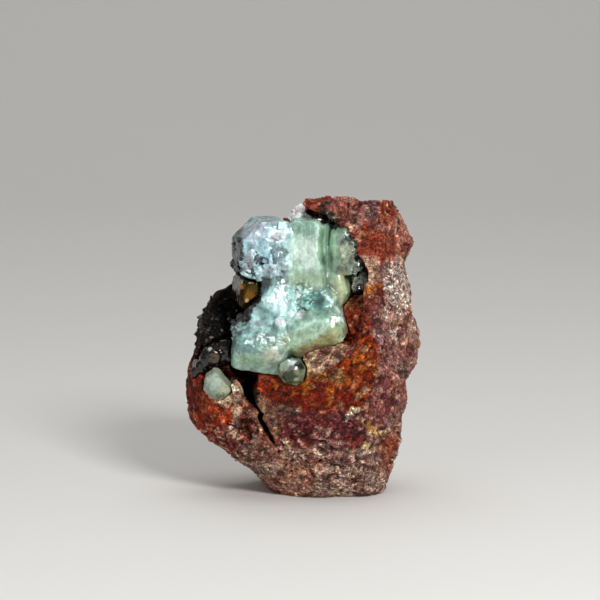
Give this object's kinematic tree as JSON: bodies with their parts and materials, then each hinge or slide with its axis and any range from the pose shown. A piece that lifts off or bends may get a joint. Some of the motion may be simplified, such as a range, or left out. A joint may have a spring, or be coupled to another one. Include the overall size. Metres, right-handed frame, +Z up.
{
  "type": "mineral specimen",
  "caption": "Natural mineral specimen: pale green adamite crystals grown together in an open vug of a broken red-brown gossan rock that stands on a flat base.",
  "frame": {"origin": "middle of the bounding box's bottom, on the flat base", "axes": "+Z up; the crystals face -Y; +X is to the right of someone who faces the crystals"},
  "size_m": [0.0316, 0.0246, 0.0399],
  "materials": {
    "gossan": "rough",
    "adamite": "translucent, frosted in places",
    "clear_adamite": "clear",
    "brown_adamite": "clear, amber-brown",
    "smoky_adamite": "clear, smoky"
  },
  "bodies": {
    "root": {"matrix": "gossan", "adamite_cluster": "adamite", "clear_crystal": "clear_adamite", "right_clear_crystal": "clear_adamite", "brown_crystal": "brown_adamite", "smoky_crystals": "smoky_adamite", "small_green_crystal": "adamite"}
  },
  "joints": []
}
